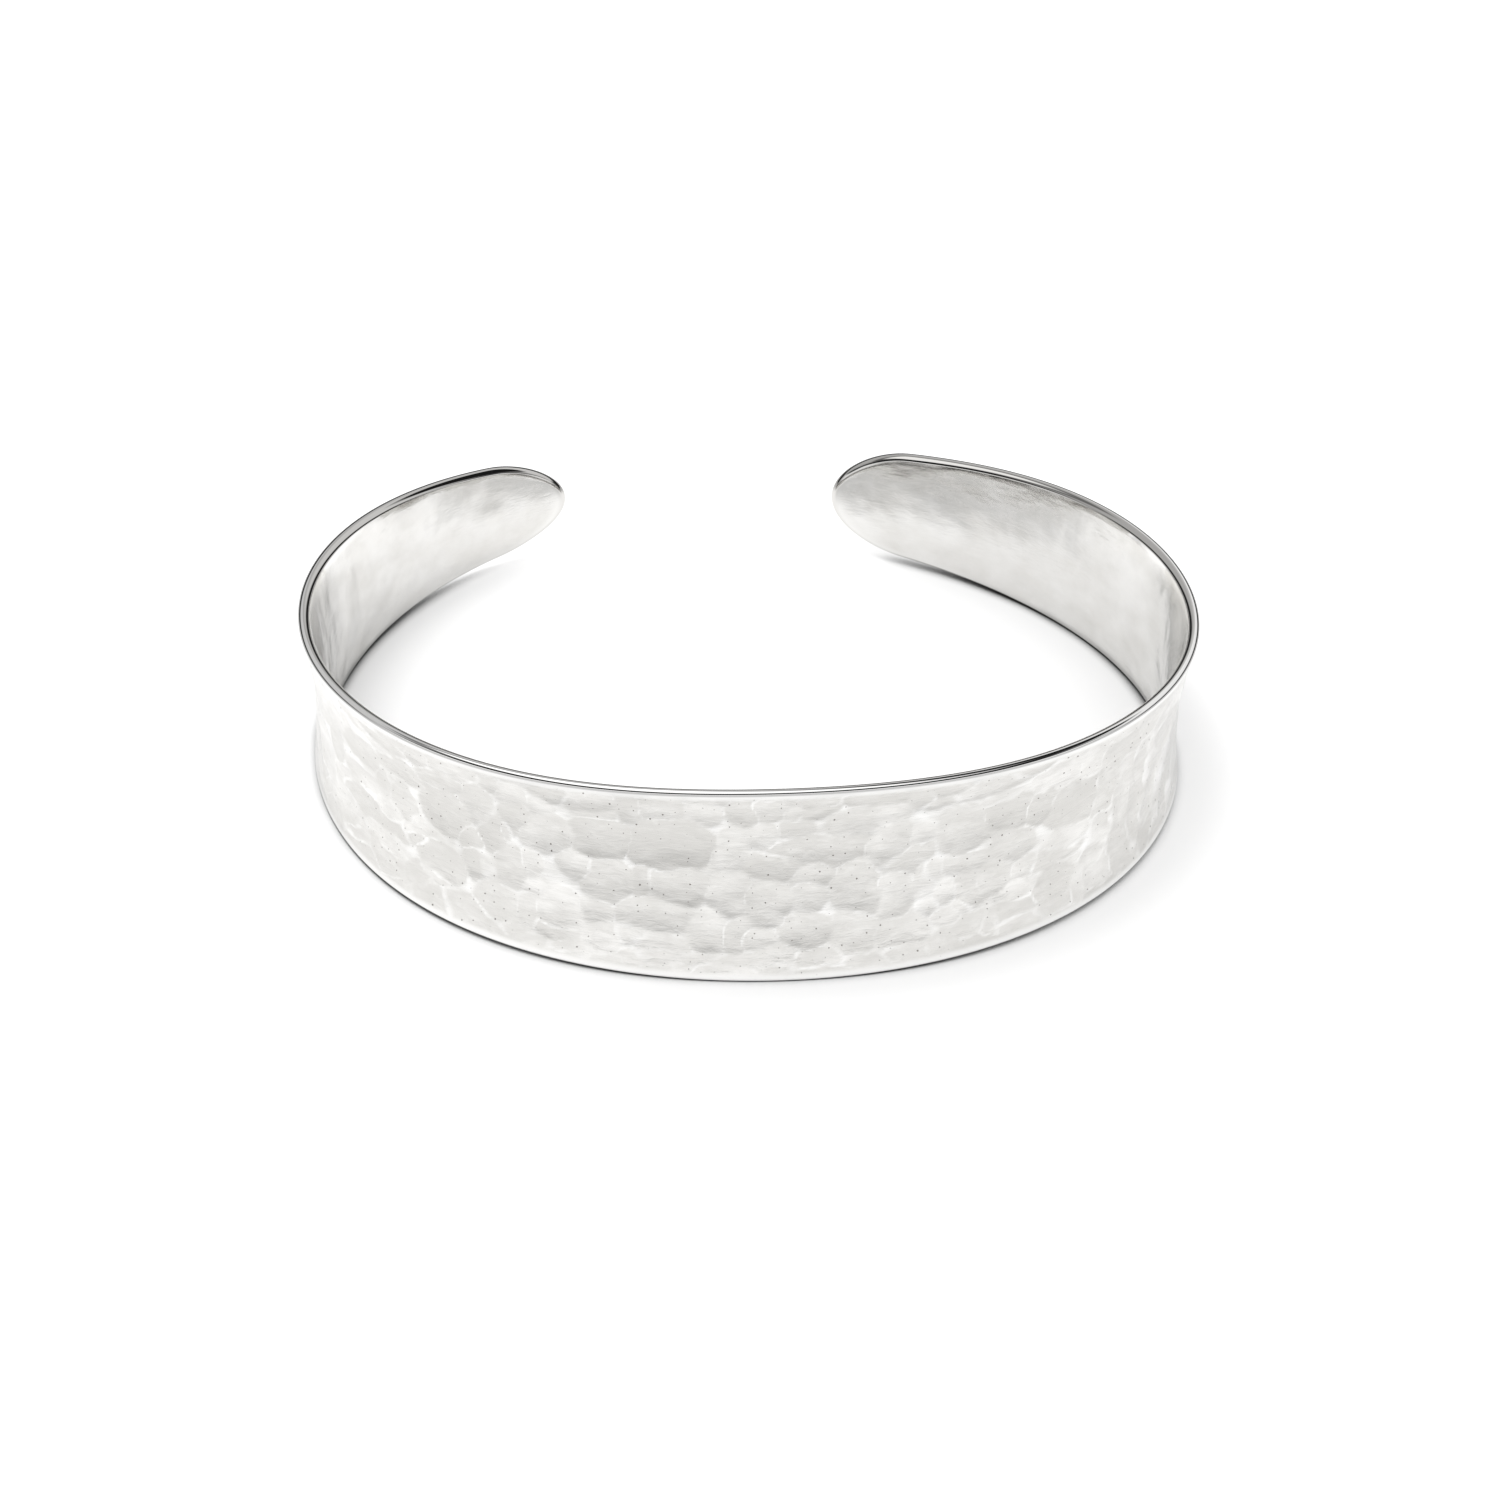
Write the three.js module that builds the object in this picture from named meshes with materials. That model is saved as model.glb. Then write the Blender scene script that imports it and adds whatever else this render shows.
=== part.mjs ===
// Hammered silver cuff bracelet: one strip of sheet, bent to an open oval and lying on its side.
// Millimetres, +Z up. The front of the band faces -Y, the opening between its tips faces +Y, and
// the origin is on the surface that it lies on, under the middle of its outer box.

import * as THREE from 'three';

// The oval that the middle of the sheet follows, seen from above.
const planWidth = 59.74;        // side to side, at the waist of the band
const planDepth = 49.62;        // front to back, with the back closed
const frontFlatness = 0.17;     // the front's radius is smaller, and the back's larger, by this
const sideBend = -0.41;         // the rest is what bending by hand leaves off true
const cornerBend = 0.33;
const openingLength = 21.2;     // stretch of the oval left open between the tips
const openingAside = 4.0;       // distance from the middle of the back to that stretch's middle

// The strip of sheet.
const bandWidth = 15.1;         // across its middle, where it is widest
const middleThickness = 0.7;
const tipThickness = 1.1;       // hammering thickens the sheet towards its tips
const tipRounding = 6.0;        // length over which a tip's outline is rounded off
const rimRounding = 0.22;       // how far the polished rim's rounding reaches over the face
const rimFlat = 0.5;            // what is left flat of the rim, as a share of its thickness
const restDepth = 0.06;         // filed off the lower rim, so that the band lies without rocking

// How the sheet curves across its width, and how its arms lean outwards.
const flare = 0.93;             // both rims of the middle stand out past the waist by this much
const leftLean = 2.0;           // of the left tip, in degrees
const rightLean = 3.8;          // of the right tip, in degrees

// Marks of the planishing hammer on the outer face.
const blowSpacing = 3.5;        // from one blow to the next along the band
const blowRowSpacing = 2.35;    // from one row of blows to the next
const blowDepth = 0.16;
const blowScatter = 0.34;       // most that a blow strays from its row, as a share of the spacing
const plainRim = 0.6;           // width of the rim that the blows leave plain

// Width of the strip from the left tip to the right tip. at is a share of the distance from its
// middle to a tip, and width is a share of bandWidth.
const widths = [
  { at: -1.00, width: 0.421 },
  { at: -0.75, width: 0.679 },
  { at: -0.50, width: 0.834 },
  { at: -0.25, width: 0.932 },
  { at: 0.00, width: 1.000 },
  { at: 0.25, width: 0.932 },
  { at: 0.50, width: 0.823 },
  { at: 0.75, width: 0.723 },
  { at: 1.00, width: 0.505 },
];

// Fineness of the facets.
const columnSpacing = 0.84;     // along the band
const tipColumns = 6;           // through each rounded tip
const outerRows = 14;           // across the hammered face
const innerRows = 6;            // across the smooth face inside
const ovalSteps = 720;          // for lengths along the oval

// The oval, drawn once round from the middle of its back through the left side and the front.
class Oval extends THREE.Curve {
  getPoint(turn, target = new THREE.Vector3()) {
    const angle = (turn - 0.5) * 2 * Math.PI;
    const radius = (planDepth + planWidth) / 4
      + (planDepth - planWidth) / 4 * Math.cos(2 * angle)
      - frontFlatness * Math.cos(3 * angle)
      + sideBend * Math.sin(3 * angle)
      + cornerBend * Math.sin(2 * angle);
    return target.set(radius * Math.sin(angle), -radius * Math.cos(angle), 0);
  }
}

const oval = new Oval();
oval.arcLengthDivisions = ovalSteps;
const ovalLengths = oval.getLengths();
const ovalLength = ovalLengths[ovalSteps];
const stripMiddle = ovalLengths[ovalSteps / 2] + openingAside;
const halfStrip = (ovalLength - openingLength) / 2;
const straightHalf = halfStrip - tipRounding;

// Width of the strip at a share of the distance from its middle to a tip, on a smooth curve
// through the widths above.
function stripWidth(at) {
  const last = widths.length - 1;
  let row = 0;
  while (row < last - 1 && at > widths[row + 1].at) row += 1;
  const steepness = (a, b) => (widths[b].width - widths[a].width) / (widths[b].at - widths[a].at);
  const span = widths[row + 1].at - widths[row].at;
  const t = (at - widths[row].at) / span;
  const start = steepness(Math.max(row - 1, 0), row + 1) * span;
  const end = steepness(row, Math.min(row + 2, last)) * span;
  const rise = widths[row + 1].width - widths[row].width;
  const bend = 3 * rise - 2 * start - end;
  const twist = start + end - 2 * rise;
  return bandWidth * (widths[row].width + t * (start + t * (bend + t * twist)));
}

// Places along the strip from the left tip to the right tip, measured from its middle, and closer
// together where a tip is rounded off.
function columnPlaces() {
  const tip = [];
  for (let i = 0; i < tipColumns; i += 1) {
    tip.push(straightHalf + tipRounding * Math.cos(i / tipColumns * Math.PI / 2));
  }
  const places = tip.map((along) => -along);
  const columns = Math.round(2 * straightHalf / columnSpacing);
  for (let i = 0; i <= columns; i += 1) {
    places.push(straightHalf * (2 * i / columns - 1));
  }
  return places.concat(tip.reverse());
}

// The hammer's blows lie in staggered rows, each a little astray and of its own weight.
function layBlows() {
  THREE.MathUtils.seededRandom(11);
  const stray = () => (THREE.MathUtils.seededRandom() - 0.5) * 2 * blowScatter;
  const rows = Math.ceil(bandWidth / 2 / blowRowSpacing);
  const columns = Math.ceil(halfStrip / blowSpacing);
  const blows = [];
  for (let row = -rows; row <= rows; row += 1) {
    for (let column = -columns; column <= columns; column += 1) {
      blows.push({
        along: (column + (row % 2) / 2 + stray()) * blowSpacing,
        up: (row + stray()) * blowRowSpacing,
        weight: 0.1 * stray(),
      });
    }
  }
  return blows;
}

const blows = layBlows();

// Depth of the hammered face under the sheet's true surface. Each blow leaves a shallow dish, and
// neighbouring dishes meet in a ridge.
function hammered(along, up) {
  const dishReach = 0.38;
  let nearest = dishReach;
  for (const blow of blows) {
    const across = (along - blow.along) / blowSpacing;
    const above = (up - blow.up) / blowRowSpacing;
    nearest = Math.min(nearest, across * across + above * above + blow.weight);
  }
  return blowDepth * (1 - nearest / dishReach);
}

// One point of the sheet. across runs from -1 at the lower rim to 1 at the upper rim, and side is
// 1 on the outer face and -1 on the inner face.
function sheetPoint(along, across, side) {
  const at = along / halfStrip;
  const past = Math.max(0, Math.abs(along) - straightHalf) / tipRounding;
  const closing = Math.sqrt(Math.max(0, 1 - past * past));
  const halfWidth = stripWidth(at) / 2;
  const up = across * halfWidth * closing;

  const fromRim = (1 - Math.hypot(past, across * closing)) * halfWidth;
  const shoulder = Math.min(fromRim / rimRounding, 1);
  const rounding = Math.sqrt(Math.max(0, 1 - (1 - shoulder) ** 2));
  const thickness = THREE.MathUtils.lerp(middleThickness, tipThickness, at * at);
  let outward = side * thickness / 2 * THREE.MathUtils.lerp(rimFlat, 1, rounding);
  if (side > 0) {
    outward -= hammered(along, up) * THREE.MathUtils.smoothstep(fromRim, rimRounding, plainRim);
  }

  const lean = THREE.MathUtils.degToRad(at < 0 ? leftLean : rightLean);
  outward += flare * (2 * up / bandWidth) ** 2 + Math.tan(lean) * at * at * up;

  const turn = (stripMiddle + along) / ovalLength;
  const point = oval.getPointAt(turn);
  const direction = oval.getTangentAt(turn);
  point.x += direction.y * outward;
  point.y -= direction.x * outward;
  point.z = up;
  return point;
}

// Shares across the strip for one face: both rims, both shoulders and even rows between them.
function rowShares(along, rows) {
  const width = stripWidth(along / halfStrip);
  const shoulder = 1 - 2 * rimRounding / width;
  const shares = [-1];
  for (let i = 0; i <= rows; i += 1) {
    shares.push(shoulder * (2 * i / rows - 1));
  }
  return shares.concat(1);
}

// The closed surface of the band: a ring of points round the sheet at each place, up the outer
// face and down the inner one. At a tip each face ends in a single point.
function bandGeometry() {
  const positions = [];
  const places = [];
  const addPoint = (along, across, side) => {
    sheetPoint(along, across, side).toArray(positions, positions.length);
    places.push(along / halfStrip);
    return places.length - 1;
  };
  const rings = columnPlaces().map((along) => {
    if (halfStrip - Math.abs(along) < 1e-6) {
      const outer = addPoint(along, 0, 1);
      const inner = addPoint(along, 0, -1);
      return [...Array(outerRows + 3).fill(outer), ...Array(innerRows + 3).fill(inner)];
    }
    const up = rowShares(along, outerRows).map((across) => addPoint(along, across, 1));
    const down = rowShares(along, innerRows).map((across) => addPoint(along, across, -1));
    return [...up, ...down.reverse()];
  });

  const faces = [];
  const addTriangle = (a, b, c) => {
    if (a !== b && b !== c && c !== a) faces.push(a, b, c);
  };
  for (let i = 1; i < rings.length; i += 1) {
    const left = rings[i - 1];
    const right = rings[i];
    for (let low = 0; low < left.length; low += 1) {
      const high = (low + 1) % left.length;
      if ((i + low) % 2) {
        addTriangle(left[low], right[low], right[high]);
        addTriangle(left[low], right[high], left[high]);
      } else {
        addTriangle(left[low], right[low], left[high]);
        addTriangle(right[low], right[high], left[high]);
      }
    }
  }

  const geometry = new THREE.BufferGeometry();
  geometry.setAttribute('position', new THREE.Float32BufferAttribute(positions, 3));
  geometry.setIndex(faces);
  return { geometry, places };
}

// Lays the band on the surface: it tips until its lower rim touches at the front and at both
// arms, where the rim is then filed flat.
function layDown(geometry, places) {
  const frontReach = 0.35;
  const vertex = new THREE.Vector3();
  const zones = [
    (at) => at < -frontReach,
    (at) => Math.abs(at) <= frontReach,
    (at) => at > frontReach,
  ];
  const lowest = (zone) => {
    const found = new THREE.Vector3(0, 0, Infinity);
    places.forEach((at, i) => {
      vertex.fromBufferAttribute(geometry.attributes.position, i);
      if (zone(at) && vertex.z < found.z) found.copy(vertex);
    });
    return found;
  };
  const settlingSteps = 8;
  for (let i = 0; i < settlingSteps; i += 1) {
    const [left, front, right] = zones.map(lowest);
    const surface = new THREE.Plane().setFromCoplanarPoints(left, front, right);
    const upright = new THREE.Quaternion();
    upright.setFromUnitVectors(surface.normal, new THREE.Vector3(0, 0, 1));
    geometry.applyQuaternion(upright);
  }

  geometry.computeBoundingBox();
  const middle = geometry.boundingBox.getCenter(new THREE.Vector3());
  const bottom = geometry.boundingBox.min.z + restDepth;
  geometry.translate(-middle.x, -middle.y, -bottom);
  const position = geometry.attributes.position;
  for (let i = 0; i < position.count; i += 1) {
    position.setZ(i, Math.max(0, position.getZ(i)));
  }
}

function makeBand() {
  const { geometry, places } = bandGeometry();
  layDown(geometry, places);
  geometry.computeVertexNormals();
  const silver = new THREE.MeshStandardMaterial({
    name: 'hammered_silver',
    color: 0xe6e3dc,
    metalness: 1,
    roughness: 0.3,
    flatShading: true,
  });
  const band = new THREE.Mesh(geometry, silver);
  band.name = 'cuff_band';
  return band;
}

const cuff = new THREE.Group();
cuff.add(makeBand());

export default cuff;
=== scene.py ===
# Hammered silver cuff bracelet, lying on its side on a white sweep. Metres, +Z up, in the frame
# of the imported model: the band's front faces -Y and the opening between its tips faces +Y.

import math

import bmesh
import bpy
import numpy as np
from mathutils import Euler, Matrix, Vector


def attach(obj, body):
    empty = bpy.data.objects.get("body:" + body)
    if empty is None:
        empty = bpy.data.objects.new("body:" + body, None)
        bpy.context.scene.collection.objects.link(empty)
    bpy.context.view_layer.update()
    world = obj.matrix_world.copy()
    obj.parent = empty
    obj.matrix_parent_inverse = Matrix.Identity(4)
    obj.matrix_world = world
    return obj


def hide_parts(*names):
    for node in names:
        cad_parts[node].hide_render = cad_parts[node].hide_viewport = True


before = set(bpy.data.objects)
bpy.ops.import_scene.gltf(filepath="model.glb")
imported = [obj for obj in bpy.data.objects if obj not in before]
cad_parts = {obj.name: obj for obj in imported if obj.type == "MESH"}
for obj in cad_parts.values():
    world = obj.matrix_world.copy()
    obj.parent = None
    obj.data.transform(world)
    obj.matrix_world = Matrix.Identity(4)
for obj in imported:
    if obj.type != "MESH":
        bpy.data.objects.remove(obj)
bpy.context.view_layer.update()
mm = 0.001


# Camera
# It looks down on the front of the cuff from about 39 degrees, a little turned and tipped.
camera_target = Vector((0.51, -9.51, 6.4)) * mm
camera_distance = 170.1 * mm
camera_pitch = math.radians(38.65)
camera_heading = math.radians(-0.63)
camera_tip = math.radians(1.39)
camera_lens = 60.7

camera_data = bpy.data.cameras.new("camera")
camera_data.lens = camera_lens
camera_data.clip_start = 5 * mm
camera = bpy.data.objects.new("camera", camera_data)
bpy.context.scene.collection.objects.link(camera)
bpy.context.scene.camera = camera
camera_turn = Euler((math.pi / 2 - camera_pitch, 0, -camera_heading)).to_matrix().to_4x4()
camera_turn = camera_turn @ Matrix.Rotation(camera_tip, 4, "Z")
camera_back = camera_turn @ Vector((0, 0, camera_distance))
camera_place = Matrix.Translation(camera_target + camera_back) @ camera_turn
camera.matrix_world = camera_place


# Sweep
# A wide sheet of matt white paper, burnt out to pure white around the cuff, as in a catalogue
# picture. Shade is painted on it only where the rim touches it. In the polished metal it shows
# painted shade, falling into darkness a few centimetres away.
sweep_half_width = 1.5
paper_white = 0.93
ring_across = 30 * mm
ring_deep = 24.5 * mm
shade_reach = 60
contact_reach = 1.1 * mm

# Painted shade that the metal sees, by distance in millimetres from the ring that the band stands on,
# and painted contact shade beside the rim, by how open the paper is there, from 0 to 1.
paper_shades = ((0, 0.87), (3, 0.88), (9, 0.80), (15, 0.59), (25, 0.42), (shade_reach, 0.35))
contact_shades = ((0.25, 0.03), (0.42, 0.2), (0.56, 0.68), (0.72, 0.91), (0.88, 1.0))


def add_node(tree, kind, inputs=(), **settings):
    """Adds a node, with its settings and with values or links for its inputs."""
    node = tree.nodes.new(kind)
    for name, value in settings.items():
        setattr(node, name, value)
    for socket, value in dict(inputs).items():
        if isinstance(value, bpy.types.NodeSocket):
            tree.links.new(value, node.inputs[socket])
        else:
            node.inputs[socket].default_value = value
    return node


def maths(tree, operation, a, b=0.0):
    return add_node(tree, "ShaderNodeMath", {0: a, 1: b}, operation=operation).outputs[0]


def mapped(tree, value, low, high, low_result=0.0, high_result=1.0, steps="LINEAR"):
    """A value between low and high, turned into one between the two results and clamped there."""
    return add_node(tree, "ShaderNodeMapRange", {
        "Value": value, "From Min": low, "From Max": high, "To Min": low_result, "To Max": high_result,
    }, interpolation_type=steps).outputs[0]


def mixed(tree, share, first, second, blend="MIX"):
    """The first colour, with a share of the second mixed in."""
    node = add_node(tree, "ShaderNodeMix", {
        "Factor": share, 6: first, 7: second,
    }, data_type="RGBA", blend_type=blend)
    return node.outputs[2]


def new_material(name):
    material = bpy.data.materials.new(name)
    material.use_nodes = True
    return material, material.node_tree, material.node_tree.nodes["Principled BSDF"]


def tone_ramp(tree, place, stops):
    """A grey that follows a list of (place, brightness) stops."""
    node = add_node(tree, "ShaderNodeValToRGB", {0: place})
    elements = node.color_ramp.elements
    for i, (stop, grey) in enumerate(stops):
        element = elements[i] if i < 2 else elements.new(stop)
        element.position = stop
        element.color = (grey, grey, grey, 1)
    return node.outputs["Color"]


sweep_mesh = bpy.data.meshes.new("sweep")
sweep_corners = [(-1, -1), (1, -1), (1, 1), (-1, 1)]
sweep_mesh.from_pydata(
    [(x * sweep_half_width, y * sweep_half_width, 0) for x, y in sweep_corners], [], [(0, 1, 2, 3)]
)
sweep = bpy.data.objects.new("sweep", sweep_mesh)
bpy.context.scene.collection.objects.link(sweep)

sweep_paper, tree, shader = new_material("sweep_paper")
place = add_node(tree, "ShaderNodeTexCoord").outputs["Object"]
ring_place = add_node(tree, "ShaderNodeVectorMath", {
    0: place, 1: (1 / ring_across, 1 / ring_deep, 0),
}, operation="MULTIPLY").outputs[0]
ring_share = add_node(tree, "ShaderNodeVectorMath", {0: ring_place}, operation="LENGTH").outputs["Value"]
from_ring = maths(tree, "ABSOLUTE", maths(tree, "SUBTRACT", ring_share, 1.0))
ring_scale = (ring_across + ring_deep) / 2 / (shade_reach * mm)
shade_place = maths(tree, "MULTIPLY", from_ring, ring_scale)
shade_stops = [(distance / shade_reach, grey) for distance, grey in paper_shades]
# Painted shade on the paper, seen only in the metal, darker further from the ring.
painted_reflected_shade = tone_ramp(tree, shade_place, shade_stops)
in_metal = add_node(tree, "ShaderNodeLightPath").outputs["Is Glossy Ray"]
paper_colour = mixed(tree, in_metal, (paper_white, paper_white, paper_white, 1), painted_reflected_shade)
# Painted contact shade on the paper, darkest where the rim touches it.
openness = add_node(tree, "ShaderNodeAmbientOcclusion", {"Distance": contact_reach}, samples=8)
painted_contact_shade = tone_ramp(tree, openness.outputs["AO"], contact_shades)
paper_colour = mixed(tree, 1.0, paper_colour, painted_contact_shade, "MULTIPLY")
tree.links.new(paper_colour, shader.inputs["Base Color"])
shader.inputs["Roughness"].default_value = 1
shader.inputs["Specular IOR Level"].default_value = 0
sweep_mesh.materials.append(sweep_paper)


# Light tent
# Even white light from all round, and a soft box above the left shoulder. The metal sees neither: in
# it the tent has dark and grey bands, and the polished rims draw them as thin black lines.
tent_strength = 1.3
box_light_power = 0.6
box_light_size = 250 * mm
front_blend = 0.3
side_blend = 0.12

# Brightness of the walls as the metal sees them, by height in degrees above the floor.
front_tent = (
    (0, 0.45), (6, 0.47), (11, 0.75), (17, 0.75), (20, 0.01), (54, 0.01), (58, 0.9), (90, 0.9),
)
back_left_tent = (
    (0, 0.01), (14, 0.02), (19, 0.42), (42, 0.42), (45, 0.15), (49, 0.15), (54, 0.95), (90, 0.95),
)
back_right_tent = (
    (0, 0.01), (14, 0.02), (19, 0.62), (37, 0.62), (41, 0.01), (68, 0.01), (75, 0.85), (90, 0.9),
)
bpy.context.scene.view_settings.view_transform = "Standard"


def tent_stops(walls):
    """Ramp stops from heights in degrees above the floor."""
    return [((math.sin(math.radians(height)) + 1) / 2, grey) for height, grey in walls]


tent = bpy.data.worlds.new("light_tent")
bpy.context.scene.world = tent
tent.use_nodes = True
tree = tent.node_tree
tent_light = tree.nodes["Background"]
direction = add_node(tree, "ShaderNodeSeparateXYZ", {
    0: add_node(tree, "ShaderNodeTexCoord").outputs["Generated"],
}).outputs
height = mapped(tree, direction["Z"], -1, 1)
backward = mapped(tree, direction["Y"], -front_blend, front_blend, steps="SMOOTHSTEP")
rightward = mapped(tree, direction["X"], -side_blend, side_blend)
front_wall, left_wall, right_wall = (
    tone_ramp(tree, height, tent_stops(wall)) for wall in (front_tent, back_left_tent, back_right_tent)
)
walls = mixed(tree, backward, front_wall, mixed(tree, rightward, left_wall, right_wall))
in_metal = add_node(tree, "ShaderNodeLightPath").outputs["Is Glossy Ray"]
tent_colour = mixed(tree, in_metal, (1, 1, 1, 1), walls)
tree.links.new(tent_colour, tent_light.inputs["Color"])
tent_light.inputs["Strength"].default_value = tent_strength

soft_box_data = bpy.data.lights.new("soft_box", "AREA")
soft_box_data.shape = "DISK"
soft_box_data.size = box_light_size
soft_box_data.energy = box_light_power
soft_box = bpy.data.objects.new("soft_box", soft_box_data)
soft_box_place = Vector((-170, 30, 460)) * mm
soft_box_turn = soft_box_place.to_track_quat("Z", "Y").to_matrix().to_4x4()
soft_box.matrix_world = Matrix.Translation(soft_box_place) @ soft_box_turn
soft_box.visible_glossy = False
bpy.context.scene.collection.objects.link(soft_box)


# Cuff band
# One strip of sterling sheet, planished all over its outer face with a domed hammer, bent round an
# oval stake, its rims stretched outwards and then filed round and polished.
plan_width = 59.74 * mm
plan_depth = 49.62 * mm
front_flatness = 0.17 * mm
side_bend = -0.41 * mm
corner_bend = 0.33 * mm
opening_length = 21.2 * mm
opening_aside = 4.0 * mm
band_width = 15.1 * mm
middle_thickness = 0.7 * mm
tip_thickness = 1.1 * mm
tip_rounding = 6.0 * mm
rim_rounding = 0.33 * mm
rim_flat = 0.06
rest_depth = 0.06 * mm
flare = 0.93 * mm
left_lean = math.radians(2.0)
right_lean = math.radians(3.8)

# Width at even places from the left tip to the right tip, as shares of the width in the middle.
width_shares = np.array([0.421, 0.679, 0.834, 0.932, 1, 0.932, 0.823, 0.723, 0.505])
width_places = np.linspace(-1, 1, len(width_shares))

# Fineness of the mesh.
column_spacing = 0.19 * mm
tip_columns = 26
outer_rows = 68
inner_rows = 22
rim_rows = 7
oval_samples = 7201
tangent_reach = 0.05 * mm
weld_reach = 0.0005 * mm

# How the cuff settles: the front of the band is this share of the strip to either side of its middle.
front_reach = 0.35
settling_steps = 8

oval_angles = np.linspace(-math.pi, math.pi, oval_samples)
oval_radii = (
    (plan_depth + plan_width) / 4
    + (plan_depth - plan_width) / 4 * np.cos(2 * oval_angles)
    - front_flatness * np.cos(3 * oval_angles)
    + side_bend * np.sin(3 * oval_angles)
    + corner_bend * np.sin(2 * oval_angles)
)
oval_x = oval_radii * np.sin(oval_angles)
oval_y = -oval_radii * np.cos(oval_angles)
oval_steps = np.hypot(np.diff(oval_x), np.diff(oval_y))
oval_lengths = np.concatenate([[0], np.cumsum(oval_steps)])
strip_middle = np.interp(0, oval_angles, oval_lengths) + opening_aside
half_strip = (oval_lengths[-1] - opening_length) / 2
straight_half = half_strip - tip_rounding


def strip_width(at):
    """Width of the strip on a smooth curve through the shares above."""
    steepness = np.gradient(width_shares, width_places)
    row = np.clip(np.searchsorted(width_places, at, side="right") - 1, 0, len(width_places) - 2)
    span = width_places[row + 1] - width_places[row]
    t = (at - width_places[row]) / span
    start = steepness[row] * span
    end = steepness[row + 1] * span
    rise = width_shares[row + 1] - width_shares[row]
    bend = 3 * rise - 2 * start - end
    twist = start + end - 2 * rise
    return band_width * (width_shares[row] + t * (start + t * (bend + t * twist)))


def bend(place, up, side):
    """Points of the sheet bent to the cuff's shape, at places along and up the flat strip. side runs
    from -1 on the inner face to 1 on the outer face. Also the direction that points outwards."""
    at = place / half_strip
    thickness = middle_thickness + (tip_thickness - middle_thickness) * at ** 2
    lean = np.tan(np.where(at < 0, left_lean, right_lean))
    outward = side * thickness / 2 + flare * (2 * up / band_width) ** 2 + lean * at ** 2 * up

    length = strip_middle + place
    ahead = [np.interp(length + tangent_reach, oval_lengths, axis) for axis in (oval_x, oval_y)]
    behind = [np.interp(length - tangent_reach, oval_lengths, axis) for axis in (oval_x, oval_y)]
    run_x, run_y = ahead[0] - behind[0], ahead[1] - behind[1]
    run = np.hypot(run_x, run_y)
    look_x, look_y = run_y / run, -run_x / run
    x = np.interp(length, oval_lengths, oval_x) + look_x * outward
    y = np.interp(length, oval_lengths, oval_y) + look_y * outward
    return np.stack([x, y, up], -1), np.stack([look_x + 0 * up, look_y + 0 * up, 0 * up], -1)


def closed_in(place):
    """How far into a rounded tip a place is, and what share of the width the tip leaves there."""
    past = np.clip(np.abs(place) - straight_half, 0, None) / tip_rounding
    return past, np.sqrt(np.clip(1 - past ** 2, 0, None))


def sheet_face(along, rows, side):
    """Points of one face at each place along the strip, from the lower rim to the upper rim, with
    their strip coordinates and the direction in which that face looks."""
    half_width = strip_width(along / half_strip)[:, None] / 2
    corner = np.arange(rim_rows + 1) / rim_rows * math.pi / 2
    corner_reach = rim_rounding * (1 - np.cos(corner)) / half_width
    shoulder = 1 - rim_rounding / half_width
    middle = shoulder * np.linspace(-1, 1, rows + 1)[1:-1]
    across = np.hstack([corner_reach - 1, middle, 1 - corner_reach[:, ::-1]])

    place = along[:, None]
    past, closing = closed_in(place)
    up = across * half_width * closing
    from_rim = np.clip(1 - np.hypot(past, across * closing), 0, None) * half_width
    rounding = np.sqrt(np.clip(1 - (1 - np.minimum(from_rim / rim_rounding, 1)) ** 2, 0, None))
    points, look = bend(place, up, side * (rim_flat + (1 - rim_flat) * rounding))
    strip = np.stack([place + 0 * up, up, from_rim], -1)
    return points, strip, side * look


def levelling(points, at):
    """The turn that tips the cuff until its lower rim touches the floor at the front and at both arms.
    at says how far along the strip each point is, from -1 to 1."""
    zones = (at < -front_reach, np.abs(at) <= front_reach, at > front_reach)
    turn = np.eye(3)
    for _ in range(settling_steps):
        tipped = points @ turn.T
        left, front, right = (tipped[zone][tipped[zone][:, 2].argmin()] for zone in zones)
        level = Vector(np.cross(front - left, right - left))
        turn = np.array(level.rotation_difference(Vector((0, 0, 1))).to_matrix()) @ turn
    return turn


def centring(points):
    """The shift that puts the middle of the points' box over the origin, and what is filed off the
    lower rim under the floor."""
    low, high = points.min(0), points.max(0)
    return -np.array([(low[0] + high[0]) / 2, (low[1] + high[1]) / 2, low[2] + rest_depth])


tip_turn = np.arange(tip_columns) / tip_columns * math.pi / 2
tip_places = straight_half + tip_rounding * np.cos(tip_turn)
straight_columns = round(2 * straight_half / column_spacing)
straight_places = np.linspace(-straight_half, straight_half, straight_columns + 1)
column_places = np.concatenate([-tip_places, straight_places, tip_places[::-1]])

faces_up = sheet_face(column_places, outer_rows, 1)
faces_down = sheet_face(column_places, inner_rows, -1)
ring_parts = [np.concatenate([up, down[:, ::-1]], 1) for up, down in zip(faces_up, faces_down)]
ring_size = ring_parts[0].shape[1]
outer_size = faces_up[0].shape[1]
band_points, band_strip, band_look = (part.reshape(-1, 3) for part in ring_parts)
band_outer = np.tile(np.arange(ring_size) < outer_size, len(column_places)).astype(float)

band_faces = []
for column in range(len(column_places) - 1):
    for low in range(ring_size):
        high = (low + 1) % ring_size
        left = column * ring_size
        right = left + ring_size
        band_faces.append((left + low, right + low, right + high, left + high))

sheet_mesh = bpy.data.meshes.new("sheet")
sheet_mesh.from_pydata(band_points.tolist(), [], band_faces)
for name, kind, field, values in (
    ("strip", "FLOAT_VECTOR", "vector", band_strip),
    ("look", "FLOAT_VECTOR", "vector", band_look),
    ("outer", "FLOAT", "value", band_outer),
):
    attribute = sheet_mesh.attributes.new(name, kind, "POINT")
    attribute.data.foreach_set(field, values.ravel())
sheet_mesh.shade_smooth()
sheet = bpy.data.objects.new("sheet", sheet_mesh)
bpy.context.scene.collection.objects.link(sheet)

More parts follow.
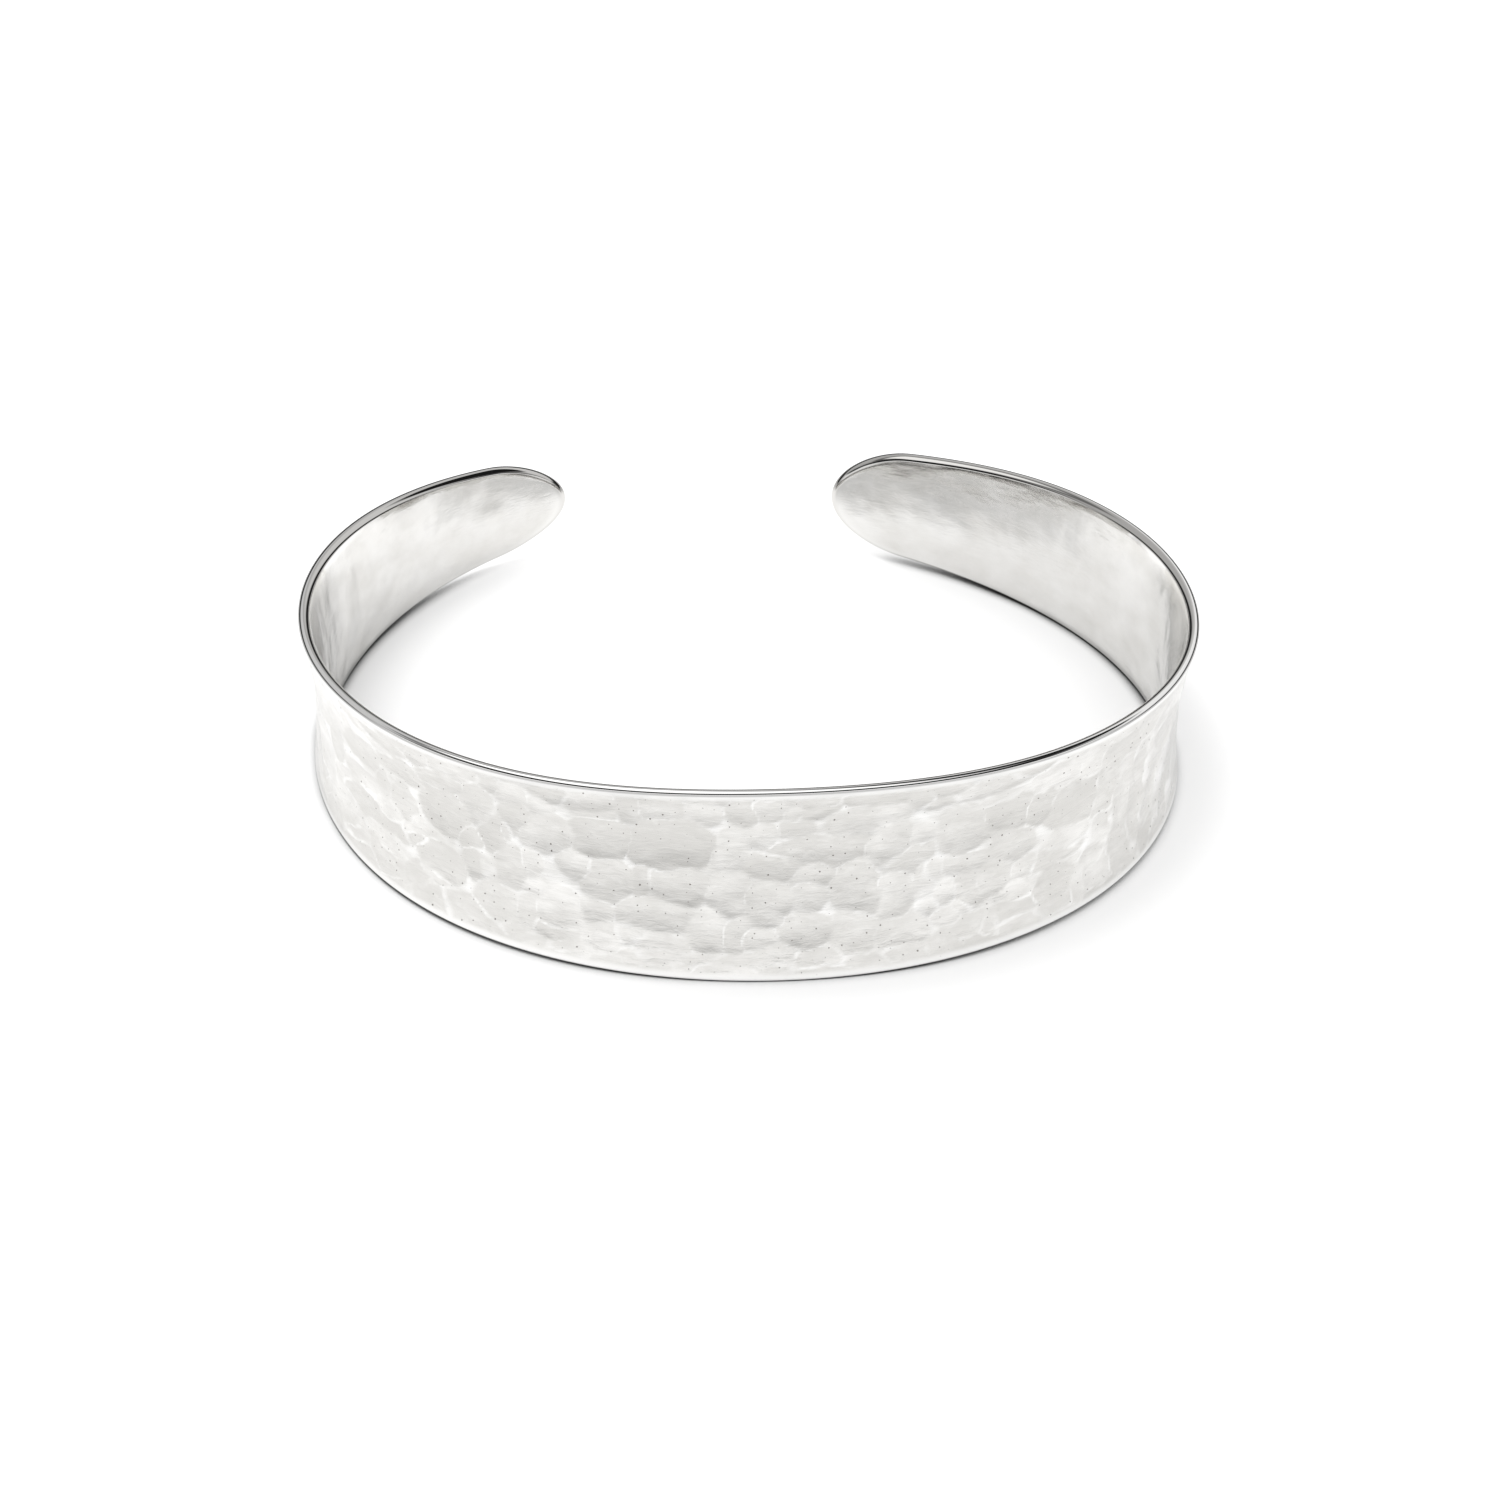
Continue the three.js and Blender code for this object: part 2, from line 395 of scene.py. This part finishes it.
work = bmesh.new()
work.from_mesh(sheet_mesh)
bmesh.ops.remove_doubles(work, verts=work.verts, dist=weld_reach)
work.to_mesh(sheet_mesh)
work.free()


# Silver
# Sterling silver, burnished along the band, grainy and pitted where the hammer struck it. The inside
# is painted darker as painted shade, with a thin line of painted shade along its rim. Painted
# highlights make the rims and the ridges between marks shine most.
silver_colour = (0.915, 0.905, 0.885, 1)
hollow_colour = (0.715, 0.704, 0.68, 1)
# The inside's colours are the same silver with painted shade, darker than the outside.
shaded_inside_colour = (0.83, 0.822, 0.805, 1)
shaded_inside_hollow_colour = (0.72, 0.708, 0.683, 1)
# Painted shade along the inner face's rim.
inside_rim_shade_colour = (0.68, 0.668, 0.65, 1)
# Painted highlight on the ridges and the outer rim.
ridge_highlight_colour = (1.0, 0.995, 0.985, 1)
pit_colour = (0.22, 0.2, 0.18, 1)

# How much the grain changes a dish's dullness, the size of the biggest pits as a share of their
# cells, how near two dishes are in depth at a ridge, and the fine relief of the skin.
grain_tone = 0.32
biggest_pit = 0.09
ridge_reach = 0.3
rim_roughness = 0.04
least_roughness, most_roughness = 0.11, 0.19
scratch_depth = 0.004 * mm
grain_depth = 0.018 * mm
pit_depth = 0.02 * mm
silver, tree, silver_shader = new_material("hammered_silver")
sheet_mesh.materials.append(silver)


def silver_attribute(name, output="Fac"):
    return add_node(silver.node_tree, "ShaderNodeAttribute", attribute_name=name).outputs[output]


def silver_noise(place, stretch, **inputs):
    """Cloudy noise on the strip. stretch is one number of waves per metre, or one for each way."""
    if isinstance(stretch, tuple):
        place = add_node(silver.node_tree, "ShaderNodeVectorMath", {0: place, 1: stretch},
                         operation="MULTIPLY").outputs[0]
        stretch = 1.0
    inputs = {"Vector": place, "Scale": stretch, **inputs}
    return add_node(silver.node_tree, "ShaderNodeTexNoise", inputs).outputs["Fac"]


strip_place = silver_attribute("strip", "Vector")
rim_distance = add_node(tree, "ShaderNodeSeparateXYZ", {0: strip_place}).outputs["Z"]
outside = silver_attribute("outer")
off_rim = mapped(tree, rim_distance, 0.3 * mm, 0.8 * mm, steps="SMOOTHSTEP")

# Scratches of the burnisher run long and fine along the band, and the grain of the struck skin is a
# mottling of less than a millimetre.
scratches = silver_noise(strip_place, (350, 5200, 0), Detail=3.0)
clouds = silver_noise(strip_place, 260.0, Detail=4.0, Roughness=0.6)
grain = silver_noise(strip_place, (850, 2300, 0), Detail=5.0, Roughness=0.65, Distortion=0.6)

# Pits, one for each few square millimetres, each round and smaller than a needle's point.
flat_place = add_node(tree, "ShaderNodeVectorMath", {0: strip_place, 1: (1, 1, 0)},
                      operation="MULTIPLY").outputs[0]
pit_cells = add_node(tree, "ShaderNodeTexVoronoi", {"Vector": flat_place, "Scale": 1250.0},
                     voronoi_dimensions="2D").outputs
pit_chance = add_node(tree, "ShaderNodeSeparateColor", {0: pit_cells["Color"]}).outputs["Red"]
pit_clusters = mapped(tree, silver_noise(strip_place, 330.0), 0.4, 0.62, 0.5, 1.0)
pit_size = maths(tree, "MULTIPLY", mapped(tree, pit_chance, 0.2, 1.0, 0.0, biggest_pit), pit_clusters)
pits = mapped(tree, maths(tree, "SUBTRACT", pit_size, pit_cells["Distance"]), 0.0, 0.03)
pits = maths(tree, "MULTIPLY", maths(tree, "MULTIPLY", pits, off_rim), outside)

# Painted highlights: ridges shine where two dishes are equally deep, but not all along, and the outer rim
# shines too.
ridge = maths(tree, "SUBTRACT", silver_attribute("next_sink"), silver_attribute("sink"))
ridge = maths(tree, "MULTIPLY", mapped(tree, ridge, 0.0, ridge_reach, 1.0, 0.0), outside)
ridge = maths(tree, "MULTIPLY", ridge, mapped(tree, silver_noise(strip_place, 420.0), 0.4, 0.65))
ridge = maths(tree, "MAXIMUM", ridge, maths(tree, "SUBTRACT", outside, off_rim))

# Each dish has a dullness of its own, mottled by the grain.
grain_share = mapped(tree, grain, 0.35, 0.65, -grain_tone, grain_tone)
dull = maths(tree, "ADD", silver_attribute("dull"), grain_share)
dull = add_node(tree, "ShaderNodeClamp", {"Value": dull}).outputs[0]
dull = maths(tree, "MULTIPLY", maths(tree, "MULTIPLY", dull, off_rim), outside)

cloud_share = maths(tree, "MULTIPLY", mapped(tree, clouds, 0.35, 0.7), off_rim)
# A thin line of painted shade just inside the inner face's rim.
painted_inside_rim_shade = mapped(tree, rim_distance, 0.15 * mm, 0.45 * mm, 1.0, 0.0, "SMOOTHSTEP")
outer_colour = mixed(tree, cloud_share, silver_colour, hollow_colour)
inner_colour = mixed(tree, cloud_share, shaded_inside_colour, shaded_inside_hollow_colour)
inner_colour = mixed(tree, painted_inside_rim_shade, inner_colour, inside_rim_shade_colour)
metal_colour = mixed(tree, outside, inner_colour, outer_colour)
# Mixes in each dish's dullness, the painted highlights on ridges and outer rim, and the dark pits.
for share, colour in ((dull, hollow_colour), (ridge, ridge_highlight_colour), (pits, pit_colour)):
    metal_colour = mixed(tree, share, metal_colour, colour)
tree.links.new(metal_colour, silver_shader.inputs["Base Color"])
silver_shader.inputs["Metallic"].default_value = 1
roughness = mapped(tree, scratches, 0.3, 0.7, least_roughness, most_roughness)
roughness = add_node(tree, "ShaderNodeMix", {
    "Factor": off_rim, 2: rim_roughness, 3: roughness,
}, data_type="FLOAT").outputs[0]
tree.links.new(roughness, silver_shader.inputs["Roughness"])

relief = add_node(tree, "ShaderNodeBump", {
    "Height": maths(tree, "MULTIPLY", scratches, off_rim), "Distance": scratch_depth, "Strength": 1.0,
}).outputs["Normal"]
for height, depth, sunken in (
    (maths(tree, "MULTIPLY", grain, off_rim), grain_depth, False), (pits, pit_depth, True),
):
    relief = add_node(tree, "ShaderNodeBump", {
        "Height": height, "Distance": depth, "Strength": 1.0, "Normal": relief,
    }, invert=sunken).outputs["Normal"]
tree.links.new(relief, silver_shader.inputs["Normal"])


# Chart of the hammer's marks
# The marks on the front, read on four enlargements of the photograph. They are put on the
# strip where the camera sees them on the cuff at rest.
photo_width = 1500
chart_step = 0.1 * mm
chart_half_length = 40 * mm
chart_half_width = 7.4 * mm
probe = 0.2 * mm

# Points of the bare sheet that say how it comes to rest. They stop just short of the tips, and the
# lower rim touches the floor halfway between the middle of the sheet and its outer face.
rest_columns = 1500
rest_rows = 41
rest_end = 0.01 * mm
rim_side = 0.5

# left and top are an enlargement's corner in the photograph's pixels. A mark is its middle x and y,
# its width and height in the enlarged pixels, and its dullness from 0 to 1.
enlargements = (
    {"left": 290, "top": 680, "zoom": 7.127, "marks": (
        (1110, 930, 330, 290, 0.9), (1340, 880, 230, 280, 0.6), (1070, 720, 320, 110, 0.7),
        (1150, 640, 320, 130, 0.3), (750, 460, 300, 90, 0.05), (880, 530, 170, 130, 0.4),
        (670, 520, 200, 50, 0), (640, 430, 330, 60, 0.6), (790, 640, 290, 120, 0.75),
        (820, 880, 180, 220, 0.55), (665, 740, 80, 210, 0.2), (890, 985, 110, 90, 0.05),
        (720, 940, 210, 130, 0), (910, 1075, 240, 80, 0.1), (530, 690, 280, 110, 0.1),
        (600, 930, 560, 150, 0.8), (385, 670, 190, 100, 0.2), (420, 900, 260, 200, 0.15),
        (290, 760, 150, 110, 0.1), (300, 910, 150, 120, 0.3), (690, 1130, 300, 140, 0.1),
        (680, 1270, 280, 170, 0.6), (500, 1110, 180, 110, 0.4), (1090, 1300, 330, 230, 0.6),
        (890, 1390, 190, 170, 0.6), (1020, 1400, 200, 80, 0.1), (1345, 1320, 220, 210, 0.5),
        (1300, 1140, 160, 160, 0.5), (930, 1150, 260, 90, 0.7), (340, 420, 130, 300, 0.7),
        (500, 480, 260, 150, 0.6), (260, 620, 130, 120, 0.6), (460, 280, 170, 50, 0.1),
        (580, 300, 150, 50, 0.1), (1400, 670, 190, 80, 0.1), (1420, 750, 150, 80, 0.4),
    )},
    {"left": 480, "top": 760, "zoom": 6.533, "marks": (
        (1250, 560, 520, 290, 0.95), (790, 510, 380, 250, 0.8), (430, 480, 330, 240, 0.35),
        (690, 250, 340, 140, 0.3), (780, 370, 240, 80, 0), (965, 325, 180, 150, 0.6),
        (1190, 320, 290, 150, 0.3), (1450, 350, 230, 150, 0.1), (200, 230, 190, 130, 0.1),
        (405, 320, 160, 90, 0), (480, 220, 280, 110, 0.7), (225, 370, 180, 200, 0.7),
        (185, 425, 60, 150, 0.1), (50, 400, 150, 360, 0.8), (20, 695, 160, 190, 0.3),
        (200, 710, 210, 280, 0.6), (335, 680, 130, 200, 0.1), (640, 690, 230, 170, 0.35),
        (830, 790, 290, 310, 0.6), (1070, 790, 170, 180, 0.8), (1270, 830, 420, 220, 0.55),
        (1120, 1010, 440, 200, 0.35), (770, 980, 200, 170, 0.4), (520, 960, 260, 260, 0.1),
        (345, 840, 110, 90, 0), (110, 940, 250, 260, 0.3), (320, 1000, 130, 200, 0.3),
        (200, 1110, 280, 90, 0.3), (490, 1100, 290, 110, 0.5), (800, 1150, 240, 190, 0.2),
        (1000, 1130, 240, 100, 0.2), (1180, 1190, 380, 130, 0.4), (1490, 1130, 250, 220, 0.2),
        (340, 1205, 240, 80, 0.1), (590, 1225, 240, 110, 0.2), (910, 1295, 370, 90, 0.5),
        (1170, 1280, 250, 90, 0.5), (1420, 1290, 300, 100, 0.5), (1265, 1365, 300, 80, 0.3),
    )},
    {"left": 700, "top": 760, "zoom": 6.533, "marks": (
        (195, 590, 190, 270, 0.2), (290, 330, 190, 140, 0.6), (450, 320, 170, 130, 0.1),
        (620, 345, 90, 90, 0), (790, 345, 280, 80, 0.7), (740, 275, 380, 70, 0.6),
        (1140, 260, 430, 90, 0.8), (1460, 250, 230, 140, 0.6), (1120, 380, 480, 170, 0.25),
        (430, 480, 260, 140, 0.15), (610, 460, 230, 130, 0.5), (780, 590, 640, 170, 0.75),
        (475, 690, 330, 190, 0.8), (750, 755, 280, 150, 0.6), (1240, 550, 280, 270, 0.5),
        (1445, 490, 140, 130, 0), (1370, 640, 300, 150, 0.6), (180, 870, 280, 250, 0.2),
        (440, 940, 300, 290, 0.5), (705, 885, 220, 190, 0.4), (1020, 840, 290, 340, 0.6),
        (1290, 860, 250, 320, 0.15), (1460, 780, 160, 260, 0.2), (240, 1120, 150, 220, 0.5),
        (410, 1160, 210, 150, 0.3), (680, 1115, 340, 220, 0.55), (1000, 1130, 290, 290, 0.25),
        (1300, 1120, 330, 190, 0.25), (1475, 965, 150, 90, 0), (800, 1300, 260, 170, 0.3),
        (1080, 1320, 250, 110, 0.35), (1340, 1265, 230, 100, 0.3), (440, 1290, 360, 100, 0.5),
        (160, 1340, 270, 110, 0.3), (400, 1375, 220, 60, 0.6),
    )},
    {"left": 920, "top": 740, "zoom": 5.407, "marks": (
        (120, 270, 260, 80, 0.7), (90, 340, 220, 50, 0.4), (230, 490, 240, 230, 0.5),
        (235, 670, 260, 100, 0.1), (510, 560, 230, 160, 0.4), (490, 380, 260, 180, 0.75),
        (480, 310, 240, 60, 0.1), (420, 250, 360, 80, 0.4), (750, 200, 260, 140, 0.15),
        (600, 160, 280, 60, 0.6), (660, 350, 150, 150, 0.8), (850, 330, 320, 220, 0.7),
        (790, 520, 220, 130, 0), (750, 610, 260, 90, 0.7), (940, 110, 130, 200, 0.15),
        (1000, 250, 150, 260, 0.65), (1100, 230, 110, 400, 0.3), (1150, 320, 90, 480, 0.5),
        (1230, 300, 70, 350, 0.3), (1310, 250, 50, 350, 0.6), (1215, 480, 90, 180, 0.7),
        (1090, 570, 150, 280, 0.5), (970, 470, 80, 160, 0.1), (930, 630, 130, 120, 0.3),
        (960, 710, 160, 200, 0.1), (845, 790, 60, 170, 0), (720, 760, 200, 190, 0.7),
        (740, 680, 230, 60, 0.2), (500, 810, 290, 110, 0.1), (520, 900, 280, 100, 0.7),
        (400, 740, 200, 190, 0.6), (260, 800, 130, 200, 0.6), (140, 825, 130, 100, 0.1),
        (50, 720, 130, 130, 0.1), (15, 820, 110, 90, 0.2), (35, 900, 110, 80, 0.1),
        (140, 955, 120, 70, 0.1), (225, 905, 90, 40, 0), (220, 1025, 240, 110, 0.1),
        (385, 1000, 100, 120, 0.2), (545, 985, 250, 110, 0.1), (735, 890, 190, 120, 0.15),
        (320, 1075, 200, 60, 0.7), (140, 1125, 180, 60, 0.3), (560, 690, 140, 80, 0.4),
    )},
)

# The bare sheet at rest.
rest_along = np.linspace(rest_end - half_strip, half_strip - rest_end, rest_columns)[:, None]
rest_up = strip_width(rest_along / half_strip) / 2 * closed_in(rest_along)[1] * np.linspace(-1, 1, rest_rows)
rest_place = np.broadcast_to(rest_along, rest_up.shape)
rest_rim = bend(rest_place[:, 0], rest_up[:, 0], rim_side)[0]
rest_faces = [bend(rest_place, rest_up, side)[0].reshape(-1, 3) for side in (1, -1)]
rest_turn = levelling(rest_rim, rest_place[:, 0] / half_strip)
rest_shift = centring(np.concatenate(rest_faces) @ rest_turn.T)


def on_photo(along, up):
    """Where places on the band's outer face show in the photograph, in its pixels."""
    points = bend(along, up, 1)[0] @ rest_turn.T + rest_shift
    view = np.array(camera_place.inverted())
    seen = points @ view[:3, :3].T + view[:3, 3]
    zoom = camera_lens / camera_data.sensor_width * photo_width
    return photo_width / 2 + zoom * seen[..., :2] / -seen[..., 2:] * (1, -1)


def charted_marks():
    """The charted marks from left to right, to a tenth of a millimetre: places along and up the strip
    from its middle, half lengths, half widths and dullness."""
    along_steps = round(chart_half_length / chart_step)
    up_steps = round(chart_half_width / chart_step)
    along, up = np.meshgrid(
        np.arange(-along_steps, along_steps) * chart_step,
        np.arange(-up_steps, up_steps) * chart_step, indexing="ij",
    )
    spots = on_photo(along, up)
    run = (on_photo(along + probe, up) - spots) / probe
    rise = (on_photo(along, up + probe) - spots) / probe
    facing = run[..., 0] * rise[..., 1] < run[..., 1] * rise[..., 0]
    marks = []
    for part in enlargements:
        for x, y, width, height, dullness in part["marks"]:
            middle = (part["left"] + x / part["zoom"], part["top"] + y / part["zoom"])
            gap = np.where(facing, np.linalg.norm(spots - middle, axis=-1), np.inf)
            found = np.unravel_index(gap.argmin(), gap.shape)
            half_length = width / part["zoom"] / np.linalg.norm(run[found]) / 2
            half_width = height / part["zoom"] / np.linalg.norm(rise[found]) / 2
            marks.append((along[found], up[found], half_length, half_width, dullness))
    marks = np.array(sorted(marks))
    marks[:, :4] = np.round(marks[:, :4] / mm, 1) * mm
    return marks


# Planishing
# The marks of an oval hammer face all over the outside. Each blow leaves a shallow dish, and where
# dishes meet they leave a ridge. The inside only shows the blows as soft lumps.
blow_depth = 0.07 * mm
usual_half_width = 1.2 * mm
blow_spacing = 3.1 * mm
row_spacing = 2.15 * mm
blow_seed = 5
plain_rim = 1.3 * mm
rim_edge = 0.25 * mm
lump_depth = 0.26 * mm
outline_waver = 1.5 * mm

# A charted dish reaches this much past the outline seen. A seeded one strays from its row, reaches,
# and stays clear of the charted ones by these shares of the spacing. Each weight, slant and dullness
# is drawn between two limits, and blows below low_blows are lighter.
charted_reach = 1.12
blow_stray = 0.4
least_reach, most_reach = 0.5, 0.95
clear_share = 0.45
most_dullness = 0.9
least_weight, most_weight = 0.85, 1.2
most_slant = 0.3
low_blows = -4.0 * mm
low_weight = 0.75

# The sheet before the blows: how high it stands over the dishes' outlines, as a share of the blows'
# depth, and how dull it is. Afterwards the whole face is lifted by another share of that depth.
unstruck_height = 0.45
unstruck_dullness = 0.3
lift = 0.3


def lay_blows():
    """The charted blows, and staggered rows of stray blows wherever the chart leaves the strip bare."""
    chance = np.random.default_rng(blow_seed)
    marks = charted_marks()
    charted = marks[:, :4] * (1, 1, charted_reach, charted_reach)
    spacing = np.array([blow_spacing, row_spacing])
    columns = math.ceil(half_strip / blow_spacing) + 1
    rows = math.ceil(band_width / 2 / row_spacing) + 1
    blows = [(*blow, dullness) for blow, dullness in zip(charted, marks[:, 4])]
    for row in range(-rows, rows + 1):
        for column in range(-columns, columns + 1):
            stray = chance.uniform(-blow_stray, blow_stray, 2)
            place = np.array([column + row % 2 / 2 + stray[0], row + stray[1]]) * spacing
            reach = spacing * chance.uniform(least_reach, most_reach)
            apart = (place - charted[:, :2]) / (charted[:, 2:] + reach * clear_share)
            dullness = chance.uniform(0, most_dullness)
            if np.hypot(*apart.T).min() > 1:
                blows.append((*place, *reach, dullness))
    return np.array([np.hstack(blow) for blow in blows]), chance


blows, chance = lay_blows()
blow_mesh = bpy.data.meshes.new("blows")
blow_mesh.from_pydata([(along, up, 0) for along, up in blows[:, :2]], [], [])
blow_weights = blows[:, 2:4].min(1) / usual_half_width
blow_weights = blow_weights * chance.uniform(least_weight, most_weight, len(blows))
blow_weights *= np.where(blows[:, 1] < low_blows, low_weight, 1)
for name, kind, field, values in (
    ("reach", "FLOAT_VECTOR", "vector", np.column_stack([blows[:, 2:4], np.ones(len(blows))])),
    ("slant", "FLOAT", "value", chance.uniform(-most_slant, most_slant, len(blows))),
    ("weight", "FLOAT", "value", blow_weights),
    ("dullness", "FLOAT", "value", blows[:, 4]),
):
    attribute = blow_mesh.attributes.new(name, kind, "POINT")
    attribute.data.foreach_set(field, np.ascontiguousarray(values).ravel())
hammer = bpy.data.objects.new("blows", blow_mesh)
bpy.context.scene.collection.objects.link(hammer)


def planishing_tree():
    """Geometry nodes that press every blow into the sheet's outer face and lumps into its inner face."""
    tree = bpy.data.node_groups.new("planishing", "GeometryNodeTree")
    sockets = tree.interface
    for name, kind in (
        ("Geometry", "Geometry"), ("Blows", "Object"), ("Depth", "Float"), ("Plain Rim", "Float"),
        ("Lump Depth", "Float"), ("Waver", "Float"), ("Material", "Material"),
    ):
        sockets.new_socket(name, in_out="INPUT", socket_type="NodeSocket" + kind)
    sockets.new_socket("Geometry", in_out="OUTPUT", socket_type="NodeSocketGeometry")

    def add(kind, inputs=(), **settings):
        return add_node(tree, kind, inputs, **settings)

    def vectors(operation, a, b):
        node = add("ShaderNodeVectorMath", {0: a, 1: b}, operation=operation)
        return node.outputs["Value" if operation == "DOT_PRODUCT" else "Vector"]

    def named(name, kind="FLOAT"):
        node = add("GeometryNodeInputNamedAttribute", {"Name": name}, data_type=kind)
        return node.outputs["Attribute"]

    def stored(geometry, name, value, kind="FLOAT"):
        node = add("GeometryNodeStoreNamedAttribute", {
            "Geometry": geometry, "Name": name, "Value": value,
        }, data_type=kind, domain="POINT")
        return node.outputs[0]

    entry = add("NodeGroupInput").outputs
    struck_places = add("GeometryNodeObjectInfo", {"Object": entry["Blows"]}).outputs["Geometry"]
    count = add("GeometryNodeAttributeDomainSize", {
        "Geometry": struck_places,
    }, component="MESH").outputs[0]

    # The hammer never lands quite flat, so the outlines of the dishes waver.
    waver = add("ShaderNodeTexNoise", {
        "Vector": named("strip", "FLOAT_VECTOR"), "Scale": 420.0, "Detail": 3.0,
    }).outputs["Color"]
    waver = vectors("MULTIPLY", vectors("SUBTRACT", waver, (0.5, 0.5, 0.5)), entry["Waver"])
    flat_strip = vectors("MULTIPLY", vectors("ADD", named("strip", "FLOAT_VECTOR"), waver), (1, 1, 0))
    wavering = stored(entry["Geometry"], "struck_place", flat_strip, "FLOAT_VECTOR")

    # One blow after another presses its dish into the sheet. sink is the lowest dish at a point,
    # next_sink the lowest but one, and their difference dies out towards a ridge.
    start = stored(stored(wavering, "sink", unstruck_height), "next_sink", unstruck_height)
    start = stored(start, "dull", unstruck_dullness)
    zone_in = add("GeometryNodeRepeatInput")
    zone_out = add("GeometryNodeRepeatOutput")
    zone_in.pair_with_output(zone_out)
    tree.links.new(count, zone_in.inputs["Iterations"])
    tree.links.new(start, zone_in.inputs["Geometry"])
    number = zone_in.outputs["Iteration"]

    def of_blow(value, kind="FLOAT"):
        node = add("GeometryNodeSampleIndex", {
            "Geometry": struck_places, "Value": value, "Index": number,
        }, data_type=kind, domain="POINT")
        return node.outputs[0]

    centre = of_blow(add("GeometryNodeInputPosition").outputs[0], "FLOAT_VECTOR")
    away = add("ShaderNodeVectorRotate", {
        "Vector": vectors("SUBTRACT", named("struck_place", "FLOAT_VECTOR"), centre),
        "Angle": of_blow(named("slant")),
    }, rotation_type="Z_AXIS").outputs[0]
    away = vectors("DIVIDE", away, of_blow(named("reach", "FLOAT_VECTOR"), "FLOAT_VECTOR"))
    dish = maths(tree, "SUBTRACT", vectors("DOT_PRODUCT", away, away), 1.0)
    dish = maths(tree, "MULTIPLY", dish, of_blow(named("weight")))
    behind = maths(tree, "MINIMUM", named("next_sink"), maths(tree, "MAXIMUM", named("sink"), dish))
    struck = stored(zone_in.outputs["Geometry"], "next_sink", behind)
    deepest = maths(tree, "LESS_THAN", dish, named("sink"))
    change = maths(tree, "SUBTRACT", of_blow(named("dullness")), named("dull"))
    change = maths(tree, "MULTIPLY", deepest, change)
    struck = stored(struck, "dull", maths(tree, "ADD", named("dull"), change))
    struck = stored(struck, "sink", maths(tree, "MINIMUM", named("sink"), dish))
    tree.links.new(struck, zone_out.inputs["Geometry"])

    from_rim = add("ShaderNodeSeparateXYZ", {0: named("strip", "FLOAT_VECTOR")}).outputs["Z"]
    fade = mapped(tree, from_rim, rim_edge, entry["Plain Rim"], steps="SMOOTHSTEP")
    pressed = maths(tree, "MULTIPLY", maths(tree, "ADD", named("sink"), lift), entry["Depth"])
    pressed = maths(tree, "MULTIPLY", pressed, named("outer"))
    lumps = add("ShaderNodeTexNoise", {
        "Vector": named("strip", "FLOAT_VECTOR"), "Scale": 300.0, "Detail": 2.0,
    }).outputs[0]
    lumps = maths(tree, "MULTIPLY", maths(tree, "SUBTRACT", lumps, 0.5), entry["Lump Depth"])
    lumps = maths(tree, "MULTIPLY", lumps, maths(tree, "SUBTRACT", 1.0, named("outer")))
    depth = maths(tree, "MULTIPLY", maths(tree, "ADD", pressed, lumps), fade)
    shift = add("ShaderNodeVectorMath", {0: named("look", "FLOAT_VECTOR"), "Scale": depth},
                operation="SCALE").outputs[0]
    hammered = add("GeometryNodeSetPosition", {
        "Geometry": zone_out.outputs["Geometry"], "Offset": shift,
    }).outputs[0]
    real = add("GeometryNodeRealizeInstances", {"Geometry": hammered}).outputs[0]
    finished = add("GeometryNodeSetMaterial", {"Geometry": real, "Material": entry["Material"]})
    leave = add("NodeGroupOutput")
    tree.links.new(finished.outputs[0], leave.inputs["Geometry"])
    return tree


planishing = sheet.modifiers.new("planishing", "NODES")
planishing.node_group = planishing_tree()
planishing_inputs = {
    "Blows": hammer,
    "Depth": blow_depth,
    "Plain Rim": plain_rim,
    "Lump Depth": lump_depth,
    "Waver": outline_waver,
    "Material": silver,
}
for item in planishing.node_group.interface.items_tree:
    if item.in_out == "INPUT" and item.name in planishing_inputs:
        planishing[item.identifier] = planishing_inputs[item.name]

depsgraph = bpy.context.evaluated_depsgraph_get()
cuff_mesh = bpy.data.meshes.new_from_object(sheet.evaluated_get(depsgraph))
bpy.data.objects.remove(sheet)
bpy.data.objects.remove(hammer)
cuff_mesh.name = "hammered_cuff"


def lay_down(mesh):
    """Lays the cuff on the floor and files its lower rim flat there."""
    points = np.empty(len(mesh.vertices) * 3)
    mesh.vertices.foreach_get("co", points)
    strip = np.empty(len(points))
    mesh.attributes["strip"].data.foreach_get("vector", strip)
    points, strip = points.reshape(-1, 3), strip.reshape(-1, 3)
    points = points @ levelling(points, strip[:, 0] / half_strip).T
    points += centring(points)
    points[:, 2] = np.maximum(points[:, 2], 0)
    mesh.vertices.foreach_set("co", points.ravel())
    mesh.update()


lay_down(cuff_mesh)
cuff = bpy.data.objects.new("hammered_cuff", cuff_mesh)
bpy.context.scene.collection.objects.link(cuff)
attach(cuff, "root")
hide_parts("cuff_band")

bpy.context.view_layer.update()
